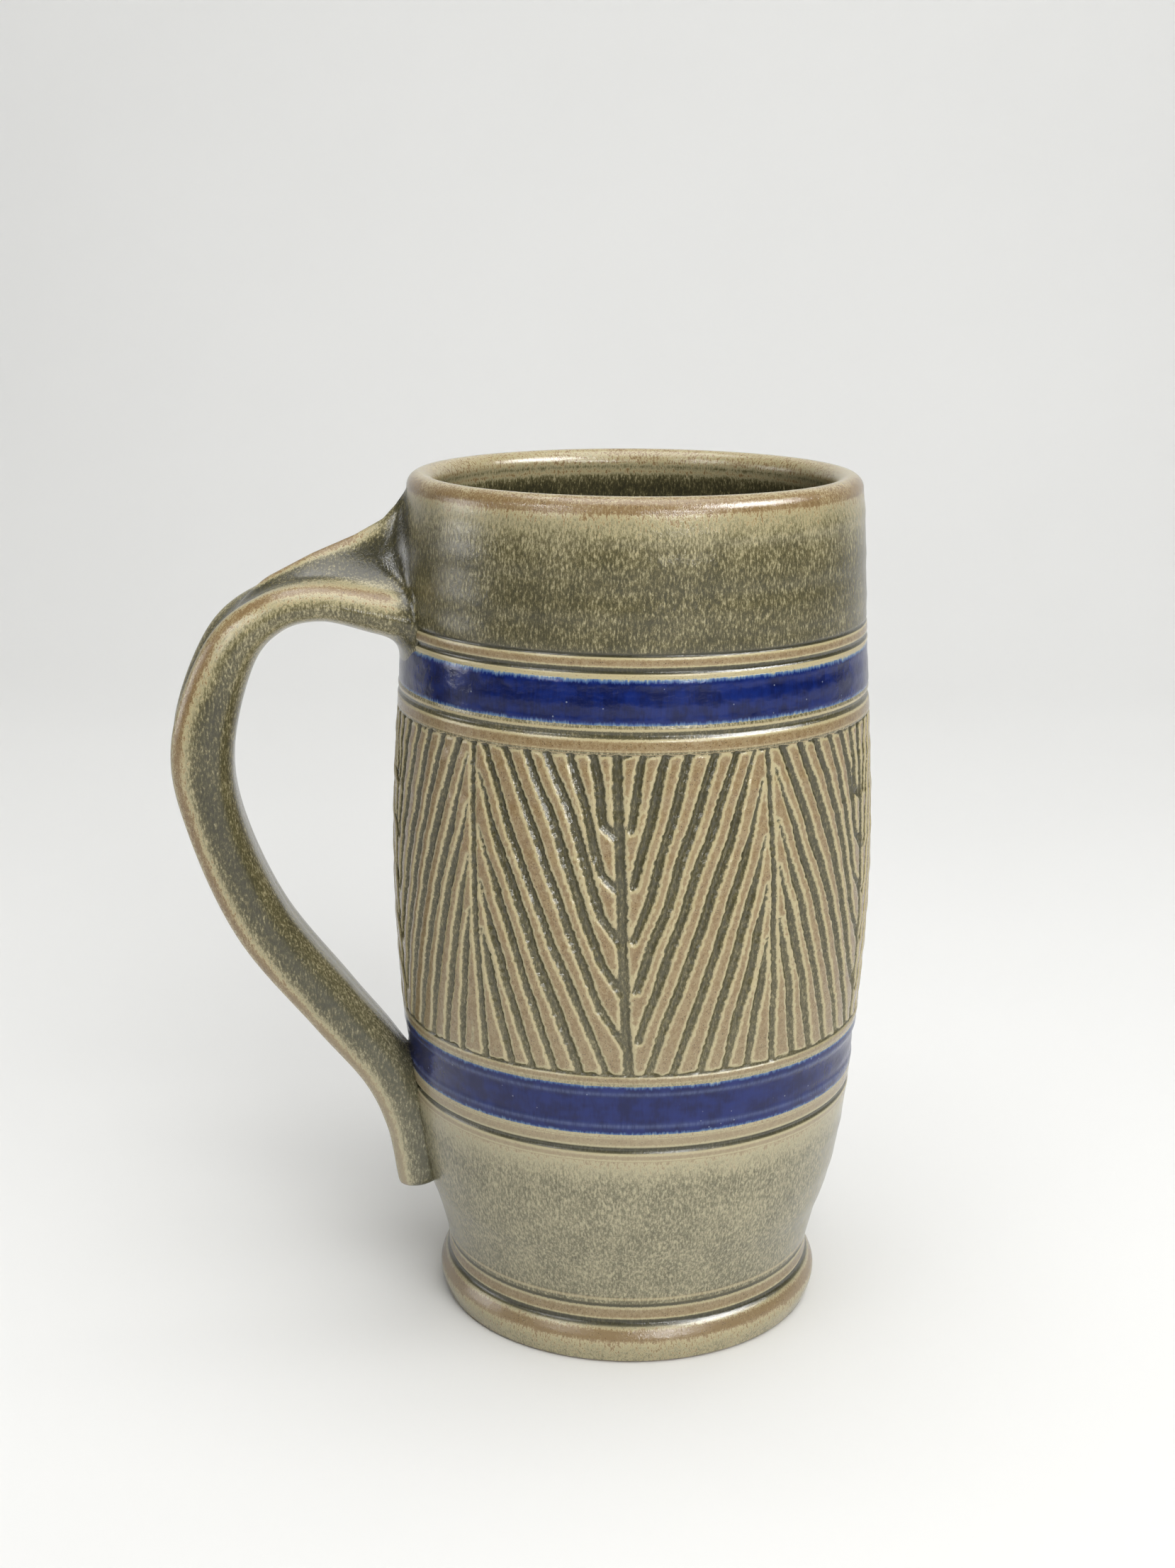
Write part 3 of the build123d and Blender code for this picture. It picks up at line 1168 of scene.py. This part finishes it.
# The paper sweep, in metres as the camera sees it: half its width, its near edge, where it
# starts to bend up behind the stein, the bend's radius and the height of its top.
SWEEP_HALF_WIDTH = 1.6
SWEEP_NEAR = -1.6
SWEEP_BEND_START = 0.55
SWEEP_BEND = 0.45
SWEEP_TOP = 1.5

# The room's light as the world's strength, from its dim side to its bright side, and the way
# towards the bright side, as the camera sees it.
ROOM_DIM = 0.17
ROOM_BRIGHT = 0.48
ROOM_BRIGHT_SIDE = (0.95, -0.3, 0.0)

# Each light's name, place as the camera sees it, width and height in metres, power, and the
# kinds of ray that it shows in. The glints only make highlights.
LIGHTS = [
    ("overhead", (0.0, -0.12, 1.35), 1.20, 1.20, 15.0, ("diffuse", "glossy")),
    ("key_right", (1.00, -0.45, 0.95), 0.90, 0.70, 1.8, ("diffuse", "glossy")),
    ("front_fill", (0.40, -1.15, 0.85), 0.90, 0.90, 14.0, ("diffuse",)),
    ("glint_right", (1.05, -0.45, 1.00), 0.95, 0.45, 30.0, ("glossy",)),
    ("glint_left", (-0.85, -0.80, 0.85), 0.34, 0.14, 3.2, ("glossy",)),
    ("glint_front", (0.52, -1.15, 0.49), 0.38, 0.20, 5.0, ("glossy",)),
    ("glint_low_left", (-0.78, -0.98, 0.48), 0.16, 0.22, 1.5, ("glossy",)),
    ("glint_window", (-1.30, 0.05, 0.28), 0.30, 0.50, 3.0, ("glossy",)),
    ("glint_above", (-0.35, 0.25, 1.10), 0.36, 0.06, 0.7, ("glossy",)),
]


def facing_camera(x, y, z):
    """A point given as right of, behind and above the stein's foot as the camera sees it."""
    return Matrix.Rotation(radians(CAMERA_ANGLE), 4, "Z") @ Vector((x, y, z))


def build_camera():
    """The scene's camera, which looks at the stein from the front and a little above."""
    camera = add_object("camera", bpy.data.cameras.new("camera"))
    camera.data.lens = LENS
    camera.data.sensor_width = SENSOR_WIDTH
    place = Matrix.Translation((0, -CAMERA_DISTANCE * MM, CAMERA_HEIGHT * MM))
    heading = Matrix.Rotation(radians(CAMERA_HEADING), 4, "Z")
    tilt = Matrix.Rotation(radians(90 - CAMERA_TILT), 4, "X")
    roll = Matrix.Rotation(radians(CAMERA_ROLL), 4, "Z")
    round_body = Matrix.Rotation(radians(CAMERA_ANGLE), 4, "Z")
    camera.matrix_world = round_body @ place @ heading @ tilt @ roll
    bpy.context.scene.camera = camera


def sweep_profile():
    """The paper's run as distance behind the stein and height: flat, round the bend and up."""
    profile = [(SWEEP_NEAR, 0.0), (0.0, 0.0), (SWEEP_BEND_START, 0.0)]
    for angle in np.linspace(0, pi / 2, 25)[1:]:
        behind = SWEEP_BEND_START + SWEEP_BEND * sin(angle)
        profile.append((behind, SWEEP_BEND * (1 - cos(angle))))
    profile.append((SWEEP_BEND_START + SWEEP_BEND, SWEEP_TOP))
    return profile


def pale_paper():
    """White paper, a little uneven."""
    g = Graph("pale_paper")
    cloud = g.noise(0.004, 0.004, 1.0)
    shade = g.ramp(cloud, -0.5, 0.5, [(-0.5, GREY_PAPER), (0.5, WHITE_PAPER)])
    tooth = g.noise(0.8, 0.8, 2.0)
    return g.finish(shade, PAPER_ROUGHNESS, [(0.02, tooth)], {"IOR": PAPER_IOR})


def build_stage():
    """A pale floor that sweeps up into a backdrop behind the stein."""
    points = []
    for behind, height in sweep_profile():
        points.append(facing_camera(-SWEEP_HALF_WIDTH, behind, height))
        points.append(facing_camera(SWEEP_HALF_WIDTH, behind, height))
    faces = [(i, i + 1, i + 3, i + 2) for i in range(0, len(points) - 2, 2)]
    add_mesh("paper_sweep", points, faces, pale_paper())


def softbox(name, place, width, height, power, shows):
    """A soft light that points at the middle of the stein. It shows in these kinds of ray."""
    light = bpy.data.lights.new(name, "AREA")
    light.shape = "RECTANGLE"
    light.size = width
    light.size_y = height
    light.energy = power
    lamp = add_object(name, light)
    lamp.location = facing_camera(*place)
    aim = Vector((0, 0, TOTAL_HEIGHT * MM / 2)) - lamp.location
    lamp.rotation_euler = aim.to_track_quat("-Z", "Y").to_euler()
    lamp.visible_diffuse = "diffuse" in shows
    lamp.visible_glossy = "glossy" in shows


def build_room():
    """The world's light, which grows from the dim side of the room to the bright side."""
    world = bpy.data.worlds.new("studio")
    world.use_nodes = True
    tree = world.node_tree
    direction = tree.nodes.new("ShaderNodeTexCoord").outputs["Generated"]
    brightward = tree.nodes.new("ShaderNodeVectorMath")
    brightward.operation = "DOT_PRODUCT"
    brightward.inputs[1].default_value = facing_camera(*ROOM_BRIGHT_SIDE)
    tree.links.new(direction, brightward.inputs[0])
    strength = tree.nodes.new("ShaderNodeMapRange")
    limits = {"From Min": -0.8, "From Max": 0.9, "To Min": ROOM_DIM, "To Max": ROOM_BRIGHT}
    for key, value in limits.items():
        strength.inputs[key].default_value = value
    tree.links.new(brightward.outputs["Value"], strength.inputs["Value"])
    tree.links.new(strength.outputs[0], tree.nodes["Background"].inputs["Strength"])
    bpy.context.scene.world = world


def build_lights():
    """Soft light from overhead and the right, with a dimmer room on the left."""
    bpy.context.scene.view_settings.view_transform = "Standard"
    build_room()
    for light in LIGHTS:
        softbox(*light)


def main():
    """Builds the scene, puts each piece under one root and hides the CAD node that it stands in
    for.
    """
    build_camera()
    build_stage()
    build_lights()
    glaze = stoneware_glaze()
    body = build_body(glaze)
    handle = build_handle(glaze)
    upper_blue = blue_glaze("upper_cobalt_glaze", *UPPER_BLUES)
    lower_blue = blue_glaze("lower_cobalt_glaze", *LOWER_BLUES)
    lower = build_band("lower_blue_band", *BAND_LEVELS[0], True, lower_blue)
    upper = build_band("upper_blue_band", *BAND_LEVELS[1], False, upper_blue)
    pieces = [
        (body, "thrown_body", "olive_glaze"),
        (handle, "pulled_handle", "handle_glaze"),
        (lower, "lower_blue_glaze_band", "blue_glaze"),
        (upper, "upper_blue_glaze_band", "blue_glaze"),
    ]
    for piece, node, slot in pieces:
        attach(piece, "root")
        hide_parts(node)


main()
